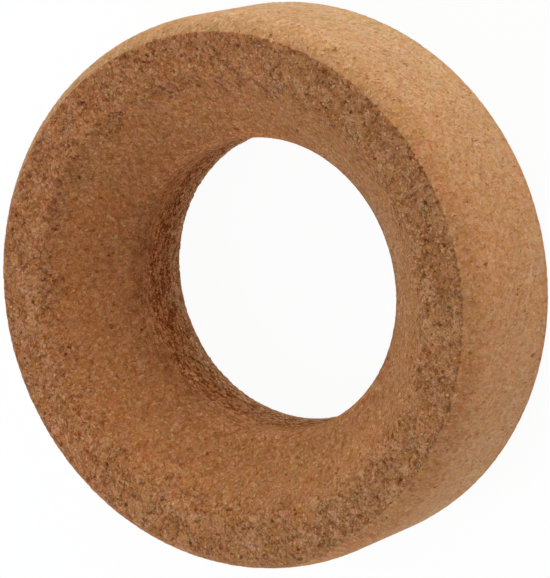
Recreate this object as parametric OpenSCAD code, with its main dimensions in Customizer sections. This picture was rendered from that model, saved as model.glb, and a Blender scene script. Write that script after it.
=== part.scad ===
// Cork ring: a low ring turned from agglomerated cork, on which a round-bottomed flask stands.
// It lies on its flat base. The bore rises from the base and opens into a funnel-shaped seat,
// a flat rim runs round the top, and the outside draws in to the rim over a rounded shoulder.

/* [Body] */
// Diameter across the outside
outer_d = 110; // [90:1:200]
// Height from the base to the rim
height = 31.5; // [25:0.5:60]
// Diameter of the bore
bore_d = 58.5; // [20:1:76]
// Radius that eases the outer edge of the base
base_edge_r = 2; // [0.3:0.1:8]
// Radius that eases the edge where the bore leaves the base
bore_edge_r = 0.8; // [0.3:0.1:8]

/* [Rim] */
// Width of the flat rim from corner to corner, before the corners are eased
rim_w = 8.2; // [4:0.1:16]
// Radius that eases the outer corner of the rim
rim_outer_r = 0.8; // [0.3:0.1:3]
// Radius that eases the inner corner of the rim
rim_inner_r = 1.5; // [0.3:0.1:6]

/* [Shoulder] */
// How far the outside draws in below the rim
shoulder_w = 3.4; // [1:0.1:7]
// How far below the rim the shoulder starts
shoulder_h = 7.8; // [5:0.1:20]

/* [Seat] */
// Depth below the rim at which the line of the seat meets the bore
seat_depth = 14.5; // [5:0.5:25]
// Radius that blends the seat into the bore
throat_r = 7; // [1:0.5:20]

/* [Hidden] */
$fn = 128;
cork_tan = [0.66, 0.46, 0.30];
overcut = 1;  // how far a cut runs past the blank
lap = 0.001;  // how far a round runs over the sides that it blends, so that they always meet

// Corners of the section, each as [radius, height], before they are eased
outer_r = outer_d / 2;
bore_r = bore_d / 2;
base_outer = [outer_r, 0];
base_inner = [bore_r, 0];
wall_top = [outer_r, height];
rim_outer = wall_top - [shoulder_w, 0];
rim_inner = rim_outer - [rim_w, 0];
throat = [bore_r, height - seat_depth];

// The shoulder is one arc, which leaves the wall upright and runs through the rim's outer corner
shoulder_r = (pow(shoulder_w, 2) + pow(shoulder_h, 2)) / (2 * shoulder_w);
shoulder_centre = wall_top + [lap - shoulder_r, -shoulder_h];

// The round that eases the rim's outer corner touches the rim and the inside of that arc
ease_rise = shoulder_h - rim_outer_r;
ease_out = sqrt(pow(shoulder_r - rim_outer_r, 2) - pow(ease_rise, 2));
ease_centre = shoulder_centre + [ease_out, ease_rise];
ease_slope = atan2(ease_rise, ease_out);

function toward(angle) = [cos(angle), sin(angle)];
function unit(v) = v / norm(v);

// Cuts what a rounding of radius r takes off a corner whose sides run towards a and b.
// The wedge runs from the rounding's centre to twice its reach, so that it ends clear of the blank.
module ease_corner(corner, a, b, r) {
    side_a = unit(a - corner);
    side_b = unit(b - corner);
    half_angle = acos(side_a * side_b) / 2;
    setback = r / tan(half_angle);
    centre = corner + unit(side_a + side_b) * r / sin(half_angle);
    outline = [corner + side_a * setback, corner, corner + side_b * setback];
    difference() {
        polygon(concat([centre], [for (p = outline) 2 * p - centre]));
        translate(centre) circle(r + lap);
    }
}

// Cuts the shoulder, and then eases the corner between it and the rim
module shoulder_cut() {
    arc_end = shoulder_centre + shoulder_r * toward(ease_slope);
    half_turn = (90 - ease_slope) / 2;
    corner = ease_centre + rim_outer_r / cos(half_turn) * toward(ease_slope + half_turn);
    difference() {
        translate([rim_outer.x, shoulder_centre.y])
            square([shoulder_w + overcut, shoulder_h + overcut]);
        translate(shoulder_centre) circle(shoulder_r);
    }
    ease_corner(corner, rim_inner, arc_end, rim_outer_r);
}

// Half of the ring's section, to the right of its axis
module section() {
    difference() {
        polygon([base_inner, base_outer, wall_top, rim_inner, throat]);
        shoulder_cut();
        ease_corner(base_outer, base_inner, wall_top, base_edge_r);
        ease_corner(base_inner, base_outer, throat, bore_edge_r);
        ease_corner(rim_inner, rim_outer, throat, rim_inner_r);
        ease_corner(throat, base_inner, rim_inner, throat_r);
    }
}

module cork_ring() {
    color(cork_tan) rotate_extrude() section();
}

cork_ring();
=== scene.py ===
from math import atan2, cos, pi, radians, sin, sqrt, tan
import bpy
from mathutils import Matrix, Vector


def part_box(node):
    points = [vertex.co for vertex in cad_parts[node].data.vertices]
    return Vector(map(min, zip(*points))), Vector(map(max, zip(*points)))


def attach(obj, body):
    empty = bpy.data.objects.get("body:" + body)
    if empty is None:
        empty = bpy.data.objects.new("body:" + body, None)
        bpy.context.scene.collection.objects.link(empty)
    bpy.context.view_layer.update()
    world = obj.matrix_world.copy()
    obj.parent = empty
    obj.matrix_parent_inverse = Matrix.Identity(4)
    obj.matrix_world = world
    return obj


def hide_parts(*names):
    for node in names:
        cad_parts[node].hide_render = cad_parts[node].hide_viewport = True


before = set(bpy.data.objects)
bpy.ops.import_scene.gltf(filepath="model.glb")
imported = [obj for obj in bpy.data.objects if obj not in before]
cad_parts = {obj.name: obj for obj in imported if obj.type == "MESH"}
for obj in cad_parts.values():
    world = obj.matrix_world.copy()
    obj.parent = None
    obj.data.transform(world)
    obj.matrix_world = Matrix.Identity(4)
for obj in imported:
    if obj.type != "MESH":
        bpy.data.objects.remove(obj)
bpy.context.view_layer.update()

# ---------------------------------------------------------------- the ring
# A low ring of agglomerated cork, small granules glued into a block and turned to shape. Its
# section is drawn first, as one closed outline of lines and arcs that runs up the wall, over the
# rim and down the seat and the bore, and is then spun round.
mm = 0.001
outside_radius = 55 * mm
ring_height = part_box("cork_ring")[1][2]
bore_radius = 29.25 * mm
rim_width = 8.2 * mm
shoulder_in = 3.4 * mm
shoulder_down = 7.8 * mm
seat_depth = 14.5 * mm
base_ease = 2 * mm
bore_ease = 0.8 * mm
rim_outer_ease = 0.8 * mm
rim_inner_ease = 1.5 * mm
throat_ease = 7 * mm
grain_step = 0.45 * mm
wall_step = 0.9 * mm
shoulder_step = 0.7 * mm
base_step = 3 * mm
steps_round = 640
same_point = 0.01 * mm


def pen_to(radius, height, step=grain_step):
    """Draws on from the last point in a straight line, in even steps."""
    global pen
    run = Vector((radius, 0, height)) - pen
    steps = max(1, round(run.length / step))
    for _ in range(steps):
        bpy.ops.mesh.extrude_region_move(TRANSFORM_OT_translate={"value": run / steps})
    pen = Vector((radius, 0, height))


def pen_round(centre, degrees, step=grain_step):
    """Draws on from the last point along an arc; degrees are positive from +X towards +Z."""
    global pen
    centre = Vector((centre[0], 0, centre[1]))
    arm = pen - centre
    steps = max(3, round(arm.length * abs(radians(degrees)) / step))
    bpy.ops.mesh.spin(steps=steps, angle=radians(degrees), center=centre, axis=(0, 1, 0))
    pen = centre + Matrix.Rotation(-radians(degrees), 3, "Y") @ arm


def eased(corner, before, after, radius):
    """Where an arc of this radius leaves each side of a corner, its centre and its turn."""
    corner, before, after = Vector(corner), Vector(before), Vector(after)
    side_in = (before - corner).normalized()
    side_out = (after - corner).normalized()
    half = side_in.angle(side_out) / 2
    setback = radius / tan(half)
    centre = corner + (side_in + side_out).normalized() * radius / sin(half)
    turn = 180 - 2 * half * 180 / pi
    return corner + side_in * setback, centre, turn


bpy.ops.object.select_all(action="DESELECT")
base_outer = (outside_radius, 0)
base_inner = (bore_radius, 0)
wall_top = (outside_radius, ring_height)
rim_outer = (outside_radius - shoulder_in, ring_height)
rim_inner = (rim_outer[0] - rim_width, ring_height)
throat = (bore_radius, ring_height - seat_depth)

start, centre, turn = eased(base_outer, base_inner, wall_top, base_ease)
bpy.ops.mesh.primitive_plane_add(size=mm, location=(start[0], 0, start[1]))
ring = bpy.context.object
ring.name = "cork_ring_body"
bpy.ops.object.transform_apply(location=True, rotation=False, scale=False)
bpy.ops.object.mode_set(mode="EDIT")
bpy.ops.mesh.merge(type="CENTER")
pen = Vector((start[0], 0, start[1]))
pen_round(centre, turn)

shoulder_radius = (shoulder_in**2 + shoulder_down**2) / (2 * shoulder_in)
shoulder_centre = Vector((outside_radius - shoulder_radius, ring_height - shoulder_down))
ease_rise = shoulder_down - rim_outer_ease
ease_out = sqrt((shoulder_radius - rim_outer_ease)**2 - ease_rise**2)
shoulder_turn = atan2(ease_rise, ease_out) * 180 / pi
pen_to(outside_radius, shoulder_centre[1], step=wall_step)
pen_round(shoulder_centre, shoulder_turn, step=shoulder_step)
pen_round(shoulder_centre + Vector((ease_out, ease_rise)), 90 - shoulder_turn)

start, centre, turn = eased(rim_inner, rim_outer, throat, rim_inner_ease)
pen_to(*start)
pen_round(centre, turn)
start, centre, turn = eased(throat, rim_inner, base_inner, throat_ease)
pen_to(*start)
pen_round(centre, turn)
start, centre, turn = eased(base_inner, throat, base_outer, bore_ease)
pen_to(*start)
pen_round(centre, turn)
start, centre, turn = eased(base_outer, base_inner, wall_top, base_ease)
pen_to(*start, step=base_step)
bpy.ops.mesh.select_all(action="SELECT")
bpy.ops.mesh.remove_doubles(threshold=same_point)
bpy.ops.mesh.spin(steps=steps_round, angle=2 * pi, center=(0, 0, 0), axis=(0, 0, 1))
bpy.ops.mesh.select_all(action="SELECT")
bpy.ops.mesh.remove_doubles(threshold=same_point)
bpy.ops.mesh.normals_make_consistent(inside=False)
bpy.ops.object.mode_set(mode="OBJECT")
bpy.ops.object.shade_smooth()

# ---------------------------------------------------------------- the ring: its grain
# Crumbs of bark from a third of a millimetre to two millimetres, pressed and glued, with gaps and
# curled cracks between them. One pattern, in millimetres, both shapes the surface and colours it:
# coarse and open on the rim, finer on the sanded seat and wall, torn into strands in the bore.
crumb_sizes = (1.7, 0.68, 0.33)
flake_size = 0.85
# Where one surface gives way to the next, as reaches from the axis and heights above the base
bore_reach = (40.0, 36.0)
bore_torn_height = (17.8, 11.5)
throat_torn_height = (21.0, 15.0)
rim_begins = (37.5, 45.0)
rim_fades = (51.5, 55.5)
rim_height = (18.0, 24.0)
wall_begins = (51.65, 51.9)


def wire(tree, kind, sockets, **settings):
    """Adds a node, makes its settings, and plugs or sets its sockets by name or number."""
    made = tree.nodes.new(kind)
    for name, value in settings.items():
        setattr(made, name, value)
    for name, value in sockets.items():
        if isinstance(value, bpy.types.NodeSocket):
            tree.links.new(value, made.inputs[name])
        else:
            made.inputs[name].default_value = value
    return made


def maths(tree, operation, *values):
    """A sum of numbers, such as ADD or MULTIPLY."""
    return wire(tree, "ShaderNodeMath", dict(enumerate(values)), operation=operation).outputs[0]


def times(tree, product, *others):
    """Numbers multiplied together."""
    for other in others:
        product = maths(tree, "MULTIPLY", product, other)
    return product


def heaped(tree, grain, shares):
    """Traits of the grain added up, each by its share."""
    heap = 0.0
    for trait, share in shares.items():
        heap = maths(tree, "MULTIPLY_ADD", grain[trait], share, heap)
    return heap


def moved(tree, operation, *values):
    """A sum of places or directions."""
    made = wire(tree, "ShaderNodeVectorMath", dict(enumerate(values)), operation=operation)
    return made.outputs[0]


def scaled(tree, triple, factor):
    """A place or a direction times a number."""
    made = wire(tree, "ShaderNodeVectorMath", {0: triple, "Scale": factor}, operation="SCALE")
    return made.outputs[0]


def parts_of(tree, triple):
    """The three numbers of a place, or of a random colour."""
    return wire(tree, "ShaderNodeSeparateXYZ", {0: triple}).outputs


def eased_from(tree, value, low, high, first=0.0, last=1.0):
    """Passes smoothly from the first number to the last while a value passes from low to high."""
    sockets = {"Value": value, "From Min": low, "From Max": high, "To Min": first, "To Max": last}
    made = wire(tree, "ShaderNodeMapRange", sockets, interpolation_type="SMOOTHSTEP")
    return made.outputs["Result"]


def varied(tree, share, first, last):
    """Passes smoothly from the first number to the last as a share grows from none to all."""
    return eased_from(tree, share, 0.0, 1.0, first, last)


def chosen(tree, share, first, second):
    """One number that gives way to another."""
    return wire(tree, "ShaderNodeMix", {0: share, 2: first, 3: second}).outputs[0]


def haze(tree, place, scale, detail=2.0, roughness=0.5):
    """Soft cloudy noise, as a number and as three numbers, all about a half."""
    sockets = {"Vector": place, "Scale": scale, "Detail": detail, "Roughness": roughness}
    return wire(tree, "ShaderNodeTexNoise", sockets).outputs


def swell(tree, place, scale, detail=2.0, roughness=0.5):
    """Soft noise as a number about nought."""
    return maths(tree, "SUBTRACT", haze(tree, place, scale, detail, roughness)[0], 0.5)


def swirl(tree, place, scale):
    """Soft noise as a direction about nought."""
    return moved(tree, "SUBTRACT", haze(tree, place, scale, 3.0)[1], (0.5, 0.5, 0.5))


def crumbs(tree, place, size):
    """Crumbs of about this size: random tone, kind and slope, lean, streaks and distance inside."""
    sockets = {"Vector": place, "Scale": 1 / size}
    cells = wire(tree, "ShaderNodeTexVoronoi", sockets).outputs
    edges = wire(tree, "ShaderNodeTexVoronoi", sockets, feature="DISTANCE_TO_EDGE").outputs
    tone, hue, kind = parts_of(tree, cells["Color"])
    within = moved(tree, "SUBTRACT", place, cells["Position"])
    slope = moved(tree, "SUBTRACT", cells["Color"], (0.5, 0.5, 0.5))
    lean = wire(tree, "ShaderNodeVectorMath", {0: within, 1: slope}, operation="DOT_PRODUCT")
    lean = lean.outputs["Value"]
    rings = maths(tree, "MULTIPLY_ADD", lean, 5.0 / size, times(tree, hue, 90.0))
    sockets = {"W": rings, "Scale": 1.0, "Detail": 1.0}
    streak = wire(tree, "ShaderNodeTexNoise", sockets, noise_dimensions="1D").outputs[0]
    streak = maths(tree, "SUBTRACT", streak, 0.5)
    edge = times(tree, edges["Distance"], size)
    return {
        "tone": tone, "kind": kind, "slope": slope,
        "lean": lean, "streak": streak, "edge": edge,
    }


def lie_of(tree, place):
    """Where a place lies, and how far it belongs to the rim, the wall, the bore and the throat."""
    x, y, z = parts_of(tree, place)
    x_squared = times(tree, x, x)
    reach = maths(tree, "SQRT", maths(tree, "MULTIPLY_ADD", y, y, x_squared))
    drift = swell(tree, place, 0.25)
    inward = maths(tree, "MULTIPLY_ADD", drift, 10.0, reach)
    outward = maths(tree, "MULTIPLY_ADD", drift, 0.4, reach)
    # On one side the open grain of the rim runs on over the shoulder, and its darker colour with
    # it, partly as painted shade where the high back lamp falls
    far_side = maths(tree, "MULTIPLY_ADD", x, -0.6, y)
    rim_run_over_with_painted_shade = eased_from(tree, far_side, 10.0, 45.0, 0.0, -2.7)
    outward = maths(tree, "ADD", outward, rim_run_over_with_painted_shade)
    rim = times(
        tree,
        eased_from(tree, inward, *rim_begins),
        eased_from(tree, z, *rim_height),
        eased_from(tree, outward, *wall_begins, 1.0, 0.25),
        eased_from(tree, inward, *rim_fades, 1.0, 0.0),
    )
    within = eased_from(tree, reach, *bore_reach)
    throat_level = maths(tree, "MULTIPLY_ADD", drift, 7.0, z)
    bore_level = maths(tree, "MULTIPLY_ADD", x_squared, 0.0045, throat_level)
    throat = times(tree, within, eased_from(tree, throat_level, *throat_torn_height, 0.0, 0.75))
    bore = times(tree, within, eased_from(tree, bore_level, *bore_torn_height))
    return {
        "height": z, "across": x, "along": y, "reach": reach, "drift": drift,
        "rim": rim, "wall": eased_from(tree, outward, *wall_begins),
        "bore": bore, "throat": maths(tree, "MAXIMUM", bore, throat),
    }


def cork_grain(tree, place):
    """The grain at a place in millimetres: where it lies, its crumbs, gaps, pits and strands."""
    grain = lie_of(tree, place)
    rim, wall, drift = grain["rim"], grain["wall"], grain["drift"]

    # Crumbs in three sizes; some of the large ones are broken into small ones
    wobble = swirl(tree, place, 1.5)
    grain["place"] = moved(tree, "MULTIPLY_ADD", wobble, (1.5, 1.5, 1.5), place)
    below_rim = maths(tree, "SUBTRACT", grain["height"], 31.0)
    drawn_up = times(tree, below_rim, varied(tree, wall, 0.8, 0.62))
    sockets = {"X": grain["across"], "Y": grain["along"], "Z": drawn_up}
    bent = wire(tree, "ShaderNodeCombineXYZ", sockets).outputs[0]
    bent = moved(tree, "ADD", wobble, bent)
    large, small, dust = [crumbs(tree, bent, size) for size in crumb_sizes]
    broken = maths(tree, "GREATER_THAN", large["kind"], varied(tree, rim, 0.1, 0.35))
    for trait in ("tone", "lean", "streak"):
        grain[trait] = chosen(tree, broken, large[trait], small[trait])
    grain["dust"] = dust["lean"]
    grain["grit"] = maths(tree, "SUBTRACT", dust["tone"], 0.5)

    # A tint that clouds over several crumbs and differs a little from one to the next
    tint = scaled(tree, swirl(tree, place, 0.6), varied(tree, wall, 1.0, 0.65))
    tint = moved(tree, "MULTIPLY_ADD", tint, (0.32, 0.2, 0.5), (1.0, 1.0, 1.0))
    grain["tint"] = moved(tree, "MULTIPLY_ADD", large["slope"], (0.06, 0.08, 0.14), tint)

    # Open gaps between crumbs, curled cracks and fine specks
    small_edge = chosen(tree, broken, 1.0, small["edge"])
    edge = maths(tree, "MINIMUM", large["edge"], small_edge)
    opened = eased_from(tree, haze(tree, bent, 1.2, 1.0)[0], 0.5, 0.68, 0.0, 0.2)
    grain["gap"] = eased_from(tree, maths(tree, "SUBTRACT", opened, edge), -0.02, 0.06)

    curl = maths(tree, "ABSOLUTE", swell(tree, bent, 1.3))
    parted = haze(tree, moved(tree, "ADD", bent, (9.0, 4.0, 7.0)), 1.1, 1.0)[0]
    parted = eased_from(tree, parted, 0.44, 0.56)
    grain["crack"] = times(tree, eased_from(tree, curl, 0.032, 0.006), parted)
    grain["speck"] = swell(tree, bent, 3.2, 3.0, 0.65)

    # Pits where small crumbs fell out, mostly on the rim
    lost = maths(tree, "MULTIPLY_ADD", rim, 0.03, 0.007)
    lost = times(tree, lost, eased_from(tree, drift, -0.15, 0.15, 0.2, 1.8))
    small_pit = maths(tree, "LESS_THAN", small["kind"], lost)
    small_pit = times(tree, small_pit, eased_from(tree, small["edge"], 0.0, 0.12))
    dust_pit = maths(tree, "LESS_THAN", dust["kind"], lost)
    dust_pit = times(tree, dust_pit, eased_from(tree, dust["edge"], 0.0, 0.06))
    grain["pit"] = maths(tree, "MAXIMUM", small_pit, dust_pit)

    # Dark pepper in the wall, and pale flecks
    peppered = times(tree, eased_from(tree, drift, -0.2, 0.2, 0.02, 0.07), wall)
    peppered = maths(tree, "LESS_THAN", dust["kind"], peppered)
    grain["pepper"] = times(tree, peppered, eased_from(tree, dust["edge"], 0.0, 0.05))
    pale_small = maths(tree, "GREATER_THAN", small["kind"], 0.955)
    pale_dust = maths(tree, "GREATER_THAN", dust["kind"], 0.93)
    grain["fleck"] = maths(tree, "MAXIMUM", times(tree, pale_small, 0.8), pale_dust)

    # Flat flakes torn into strands, with slits between them
    laid = moved(tree, "MULTIPLY_ADD", wobble, (1.8, 1.8, 1.8), place)
    laid = moved(tree, "MULTIPLY", laid, (0.62, 0.62, 1.5))
    flakes = crumbs(tree, laid, flake_size)
    thread = swell(tree, laid, 2.0, 3.0, 0.65)
    flake_tone = maths(tree, "SUBTRACT", flakes["tone"], 0.5)
    grain["strand"] = maths(tree, "MULTIPLY_ADD", flake_tone, 0.35, thread)
    apart = eased_from(tree, haze(tree, laid, 0.9, 1.0)[0], 0.4, 0.6, 0.0, 0.16)
    apart = maths(tree, "SUBTRACT", apart, flakes["edge"])
    grain["slit"] = eased_from(tree, apart, -0.02, 0.05)
    return grain


# ---------------------------------------------------------------- the ring: its cut surface
# The tool leaves some crumbs standing proud, pulls others out and tears the bore into strands. A
# geometry tree moves every point along its normal, always inwards of the turned size, and is
# applied, so that the relief is in the mesh itself.
# How far each trait lifts the surface, and how far it lies under the turned size on the whole
crumb_heights = {"pit": -0.3, "gap": -0.15, "crack": -0.1, "tone": 0.12, "lean": 0.3}
torn_heights = {"strand": 1.0, "speck": 0.5, "slit": -0.5}
surface_under = 0.1

relief = bpy.data.node_groups.new("cork_relief", "GeometryNodeTree")
relief.interface.new_socket("Geometry", in_out="INPUT", socket_type="NodeSocketGeometry")
relief.interface.new_socket("Geometry", in_out="OUTPUT", socket_type="NodeSocketGeometry")
turned = wire(relief, "NodeGroupInput", {}).outputs[0]
place = wire(relief, "GeometryNodeInputPosition", {}).outputs[0]
normal = wire(relief, "GeometryNodeInputNormal", {}).outputs[0]
grain = cork_grain(relief, scaled(relief, place, 1 / mm))

opened = maths(relief, "MAXIMUM", grain["rim"], grain["bore"])
near_rim = eased_from(relief, grain["height"], 24.0, 30.0, 0.0, 0.5)
opened = maths(relief, "MAXIMUM", opened, near_rim)
rise = heaped(relief, grain, crumb_heights)
rise = times(relief, rise, varied(relief, opened, 0.3, 1.0))
torn = heaped(relief, grain, torn_heights)
torn = times(relief, torn, eased_from(relief, grain["height"], 0.0, 6.0, 0.28, 0.4))
rise = chosen(relief, times(relief, grain["bore"], 0.8), rise, torn)
rise = maths(relief, "SUBTRACT", rise, surface_under)
rise = maths(relief, "MINIMUM", rise, 0.0)
shift = scaled(relief, normal, times(relief, rise, mm))
cut = wire(relief, "GeometryNodeSetPosition", {"Geometry": turned, "Offset": shift}).outputs[0]
wire(relief, "NodeGroupOutput", {0: cut})
cutter = ring.modifiers.new("cork_relief", "NODES")
cutter.node_group = relief
bpy.ops.object.modifier_apply(modifier=cutter.name)

# ---------------------------------------------------------------- the ring: its colour
# Bare cork, dull and warm: tan where the wall was sanded, redder and darker on the rim and seat,
# lighter in the bore, where dark strands and the ring's own shade lie over it. Every crumb has its
# own tone, the colour drifts a little round the ring, and a few dark knots of bark lie on the rim.
# Light and shade are also painted in: paler at the foot of the wall and of the bore, on two sides
# of the wall, on the near side of the seat and at the two sides of the throat, and darker in the
# pits and where the rim's colour runs over the shoulder.
wall_tan = (0.486, 0.236, 0.1005, 1)
wall_low_painted_light_tan = (0.52, 0.273, 0.124, 1)
shoulder_tan = (0.43, 0.195, 0.0765, 1)
rim_brown = (0.373, 0.157, 0.0597, 1)
seat_brown = (0.387, 0.158, 0.0545, 1)
bore_brown = (0.62, 0.267, 0.096, 1)
bore_foot_painted_light_tan = (0.88, 0.53, 0.26, 1)
fleck_tan = (0.58, 0.36, 0.17, 1)
# Stains, by which a colour is multiplied; the wall, seat, throat and pit ones also paint light or
# shade
lip_stain = (1.05, 1.06, 1.05, 1)
wall_front_painted_light_stain = (0.91, 1.07, 1.17, 1)
wall_rear_painted_light_stain = (1.09, 1.14, 1.2, 1)
seat_painted_sheen_stain = (1.06, 1.22, 1.5, 1)
throat_painted_light_stain = (1.4, 1.45, 1.47, 1)
gap_stain = (0.6, 0.385, 0.15, 1)
pit_dark_and_shade_stain = (0.54, 0.31, 0.1, 1)
slit_stain = (0.5, 0.3, 0.12, 1)
knot_stain = (0.42, 0.36, 0.3, 1)
crumb_stains = (
    (0.0, (0.7, 0.51, 0.27, 1)),
    (0.15, (0.89, 0.78, 0.6, 1)),
    (0.5, (1.0, 0.99, 0.97, 1)),
    (0.85, (1.09, 1.18, 1.36, 1)),
    (1.0, (1.22, 1.45, 2.0, 1)),
)
cloud_stains = (
    (0.3, (1.025, 0.985, 0.965, 1)),
    (0.7, (0.98, 1.015, 1.03, 1)),
)
side_stains = (
    (0.0, (0.965, 1.01, 1.03, 1)),
    (1.0, (1.035, 0.985, 0.96, 1)),
)
rim_side_stains = (
    (0.0, (1.045, 1.04, 1.03, 1)),
    (1.0, (0.945, 0.945, 0.955, 1)),
)
speck_stains = (
    (0.0, (0.6, 0.41, 0.2, 1)),
    (0.5, (1.0, 1.0, 1.0, 1)),
    (1.0, (1.5, 1.82, 2.45, 1)),
)
strand_stains = (
    (0.0, (0.46, 0.27, 0.09, 1)),
    (0.5, (1.0, 0.99, 0.98, 1)),
    (1.0, (1.08, 1.17, 1.36, 1)),
)
# How far each trait lifts the fine relief
fine_heights = {
    "lean": 0.35, "tone": 0.08, "dust": 0.75, "streak": 0.08, "speck": 0.12,
    "gap": -0.1, "crack": -0.16, "pit": -0.15, "pepper": -0.12,
}
shred_heights = {"slit": -0.6, "strand": 1.0}
# Dark knots, each as a place and a radius in millimetres
knots = (
    (35.3, -36.1, 31.5, 0.95),
    (-16.4, -44.1, 31.5, 0.75),
    (-31.8, -40.7, 31.3, 0.9),
    (-42.9, -25.8, 31.5, 0.8),
    (-40.2, -30.4, 31.5, 0.9),
    (-37.5, 33.5, 31.5, 0.7),
    (-34.3, 27.8, 31.5, 0.7),
    (7.0, 44.1, 31.5, 0.6),
    (17.6, 43.0, 31.5, 0.7),
    (8.5, 41.5, 30.5, 0.5),
    (21.7, 31.5, 26.2, 0.45),
    (12.8, -49.9, 31.4, 0.5),
    (-3.8, -51.4, 31.4, 0.6),
    (-3.5, -54.9, 11.9, 0.4),
    (-10.2, -54.1, 17.5, 0.4),
)

cork = bpy.data.materials.new("cork")
cork.use_nodes = True
tree = cork.node_tree
shader = tree.nodes["Principled BSDF"]
place = wire(tree, "ShaderNodeTexCoord", {}).outputs["Object"]
place = scaled(tree, place, 1 / mm)
grain = cork_grain(tree, place)
height, reach, across, along = [grain[trait] for trait in ("height", "reach", "across", "along")]
rim, wall, bore, throat = [grain[trait] for trait in ("rim", "wall", "bore", "throat")]


def mixed(share, first, second, blend="MIX"):
    """Two colours mixed."""
    sockets = {0: share, 6: first, 7: second}
    return wire(tree, "ShaderNodeMix", sockets, data_type="RGBA", blend_type=blend).outputs[2]


def stained(colour, share, stain):
    """A colour with a stain laid over a share of it."""
    return mixed(share, colour, stain, "MULTIPLY")


def ramp(value, stops):
    """A colour ramp through stops, each a position and a colour."""
    made = wire(tree, "ShaderNodeValToRGB", {0: value})
    first, last = made.color_ramp.elements
    first.position, first.color = stops[0]
    last.position, last.color = stops[-1]
    for position, colour in stops[1:-1]:
        made.color_ramp.elements.new(position).color = colour
    return made.outputs[0]


# The ground colour of each surface, with light painted paler at the foot of the bore and of the
# wall
body = mixed(bore, seat_brown, bore_brown)
# Painted light: the foot of the bore is painted paler, as if light came in from below
body = mixed(times(tree, bore, eased_from(tree, height, 8.0, 0.0)), body, bore_foot_painted_light_tan)
body = mixed(rim, body, rim_brown)
lip = times(tree, eased_from(tree, reach, 36.0, 43.0), eased_from(tree, reach, 48.0, 44.5))
body = stained(body, lip, lip_stain)
wall_colour = mixed(eased_from(tree, height, 30.5, 24.0), shoulder_tan, wall_tan)
# Painted light: the wall is painted paler towards the base, as if lit from the floor
wall_colour = mixed(eased_from(tree, height, 20.0, 3.0), wall_colour, wall_low_painted_light_tan)
body = mixed(wall, body, wall_colour)

# The crumbs, each in its own tone
tone = heaped(tree, grain, {"grit": 0.5, "tone": 1.0, "streak": 0.7})
strength = times(
    tree,
    varied(tree, rim, 0.54, 0.66),
    varied(tree, wall, 1.0, 0.85),
    varied(tree, bore, 1.0, 0.6),
)
body = stained(body, strength, ramp(tone, crumb_stains))
body = stained(body, 1.0, grain["tint"])

# The drift of colour round the ring, and painted light on two sides of the wall and on the near
# seat
body = stained(body, 1.0, ramp(haze(tree, place, 0.1, 3.0)[0], cloud_stains))
red_side = maths(tree, "MULTIPLY_ADD", along, 1.2, across)
red_side = ramp(eased_from(tree, red_side, -60.0, 60.0), side_stains)
body = stained(body, varied(tree, wall, 1.0, 0.0), red_side)
# Painted light: the wall on the +x side is painted paler and cooler, as under the cool side lamp
body = stained(body, times(tree, wall, eased_from(tree, across, 0.0, 50.0)), wall_front_painted_light_stain)
# Painted light: the lower wall on the -x side is painted paler, as if lit from the floor
rear_painted_light = times(
    tree, wall, eased_from(tree, across, -15.0, -50.0), eased_from(tree, height, 28.0, 20.0))
body = stained(body, rear_painted_light, wall_rear_painted_light_stain)
body = stained(body, rim, ramp(eased_from(tree, across, -50.0, 50.0), rim_side_stains))
# Painted sheen: the near side of the seat, seen edge-on, is painted paler and greyer
near_side = maths(tree, "SUBTRACT", times(tree, across, 0.1), along)
seat_painted_sheen = times(
    tree,
    eased_from(tree, near_side, 18.0, 36.0),
    eased_from(tree, height, 29.0, 19.0),
    eased_from(tree, reach, 46.0, 40.0),
)
body = stained(body, seat_painted_sheen, seat_painted_sheen_stain)

# Pale flecks, dark gaps, cracks, pepper and pits; the pits are dark in themselves and also painted
# with shade
body = mixed(times(tree, grain["fleck"], 0.4), body, fleck_tan)
gap = times(tree, grain["gap"], varied(tree, rim, 0.2, 0.5), varied(tree, wall, 1.0, 0.4))
body = stained(body, gap, gap_stain)
crack = times(tree, grain["crack"], varied(tree, rim, 0.42, 0.6), varied(tree, wall, 1.0, 0.5))
body = stained(body, crack, gap_stain)
body = stained(body, times(tree, grain["pepper"], 0.42), gap_stain)
body = stained(body, times(tree, grain["pit"], 0.75), pit_dark_and_shade_stain)
contrast = times(
    tree,
    varied(tree, bore, 0.56, 0.9),
    varied(tree, wall, 1.0, 0.42),
    eased_from(tree, height, 26.0, 15.0, 1.0, 1.3),
)
speck = maths(tree, "MULTIPLY_ADD", times(tree, grain["speck"], contrast), 1.7, 0.5)
body = stained(body, 1.0, ramp(speck, speck_stains))

# The torn strands, and painted light on the throat at the two sides
throat_painted_light = times(
    tree,
    eased_from(tree, maths(tree, "ABSOLUTE", across), 14.0, 30.0),
    eased_from(tree, reach, *bore_reach),
    eased_from(tree, height, 8.0, 13.5),
    eased_from(tree, height, 20.0, 16.0),
)
body = stained(body, throat_painted_light, throat_painted_light_stain)
frayed = times(tree, throat, eased_from(tree, height, 0.0, 4.0, 0.4, 1.0))
strand = ramp(maths(tree, "MULTIPLY_ADD", grain["strand"], 3.0, 0.6), strand_stains)
body = stained(body, frayed, strand)
body = stained(body, times(tree, grain["slit"], frayed, bore), slit_stain)

# The knots
knotted = 0.0
for x, y, z, radius in knots:
    away = wire(
        tree, "ShaderNodeVectorMath", {0: grain["place"], 1: (x, y, z)}, operation="DISTANCE")
    knot = eased_from(tree, away.outputs["Value"], radius, radius / 2)
    knotted = maths(tree, "MAXIMUM", knotted, knot)
body = stained(body, times(tree, knotted, 0.8), knot_stain)
tree.links.new(body, shader.inputs["Base Color"])

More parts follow.
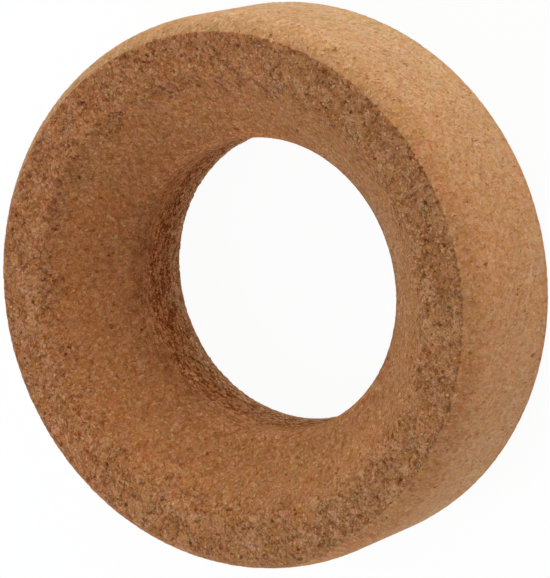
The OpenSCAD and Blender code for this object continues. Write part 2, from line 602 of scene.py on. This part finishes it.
# The relief that is too fine for the mesh
fine = heaped(tree, grain, fine_heights)
fine = times(tree, fine, varied(tree, rim, 0.56, 1.0), varied(tree, wall, 1.0, 0.68))
shred = heaped(tree, grain, shred_heights)
fine = maths(tree, "MULTIPLY_ADD", times(tree, shred, throat), 0.12, fine)
bump = wire(tree, "ShaderNodeBump", {"Height": fine, "Strength": 1.0, "Distance": mm})
tree.links.new(bump.outputs[0], shader.inputs["Normal"])
shader.inputs["Roughness"].default_value = 0.92
shader.inputs["Specular IOR Level"].default_value = 0.08
shader.inputs["Sheen Weight"].default_value = 0.04
shader.inputs["Sheen Roughness"].default_value = 0.3
shader.inputs["Sheen Tint"].default_value = (1, 0.86, 0.72, 1)
ring.data.materials.append(cork)

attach(ring, "root")
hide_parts("cork_ring")

# ---------------------------------------------------------------- the floor
# A sheet of white studio paper that runs out of view on every side. It is seen almost pure white,
# and keeps a pale shadow of the ring.
paper_white = (0.8, 0.8, 0.8, 1)
share_of_glow = 0.95

bpy.ops.mesh.primitive_plane_add(size=4, location=(0, 0, 0))
floor = bpy.context.object
floor.name = "floor"
paper = bpy.data.materials.new("studio_white")
paper.use_nodes = True
sheet = paper.node_tree
shader = sheet.nodes["Principled BSDF"]
shader.inputs["Base Color"].default_value = paper_white
shader.inputs["Roughness"].default_value = 1
rays = wire(sheet, "ShaderNodeLightPath", {}).outputs
seen = maths(sheet, "ADD", rays["Is Camera Ray"], rays["Is Glossy Ray"])
seen = maths(sheet, "ADD", seen, rays["Is Transmission Ray"])
seen = times(sheet, seen, share_of_glow)
glow = wire(sheet, "ShaderNodeEmission", {}).outputs[0]
look = wire(sheet, "ShaderNodeMixShader", {0: seen, 1: shader.outputs[0], 2: glow}).outputs[0]
sheet.links.new(look, sheet.nodes["Material Output"].inputs["Surface"])
floor.data.materials.append(paper)

# ---------------------------------------------------------------- lamps and world
# Four soft round lamps stand round the ring in a white room, three of them low. All are turned to
# the middle of the ring.
room_strength = 0.6
lamp_target = Vector((0, 0, 0.015))
lamp_size = 0.44

scene = bpy.context.scene
scene.world = bpy.data.worlds.new("studio")
scene.world.use_nodes = True
room = scene.world.node_tree.nodes["Background"]
room.inputs["Color"].default_value = (1, 1, 1, 1)
room.inputs["Strength"].default_value = room_strength


def lamp(name, place, power, colour):
    """A round soft lamp, in watts, turned to the ring."""
    light = bpy.data.lights.new(name, "AREA")
    light.color = colour
    light.shape = "DISK"
    light.size = lamp_size
    light.energy = power
    holder = bpy.data.objects.new(name, light)
    scene.collection.objects.link(holder)
    holder.location = place
    holder.rotation_euler = (Vector(place) - lamp_target).to_track_quat("Z", "Y").to_euler()


lamp("low_front", (0.415, -0.415, 0.125), 2.122, (1.0, 0.951, 0.902))
lamp("low_side", (0.57, 0.0, 0.185), 1.836, (0.951, 0.98, 1.0))
lamp("low_rear", (-0.512, -0.296, 0.1), 0.561, (1.0, 0.951, 0.902))
lamp("high_back", (-0.21, 0.455, 0.33), 2.667, (0.796, 0.885, 1.0))

# ---------------------------------------------------------------- camera
# A long lens above the rim, 33 degrees off the ring's axis. It is rolled, so that the ring seems
# to stand on its edge.
camera_lens = 229.9
camera_reach = 0.715
off_axis = radians(32.66)
roll = radians(-106.98)
aim_offset = Vector((-1.08 * mm, -11.64 * mm, 0))

camera_data = bpy.data.cameras.new("camera")
camera = bpy.data.objects.new("camera", camera_data)
scene.collection.objects.link(camera)
camera_data.sensor_width = 36
camera_data.lens = camera_lens
camera_data.clip_end = 10
rim_centre = Vector((0, 0, ring_height))
camera.location = rim_centre + camera_reach * Vector((0, -sin(off_axis), cos(off_axis)))
aim = rim_centre + aim_offset
facing = (camera.location - aim).to_track_quat("Z", "Y").to_matrix()
facing = facing @ Matrix.Rotation(roll, 3, "Z")
camera.matrix_world = Matrix.Translation(camera.location) @ facing.to_4x4()
scene.camera = camera
scene.view_settings.view_transform = "Standard"
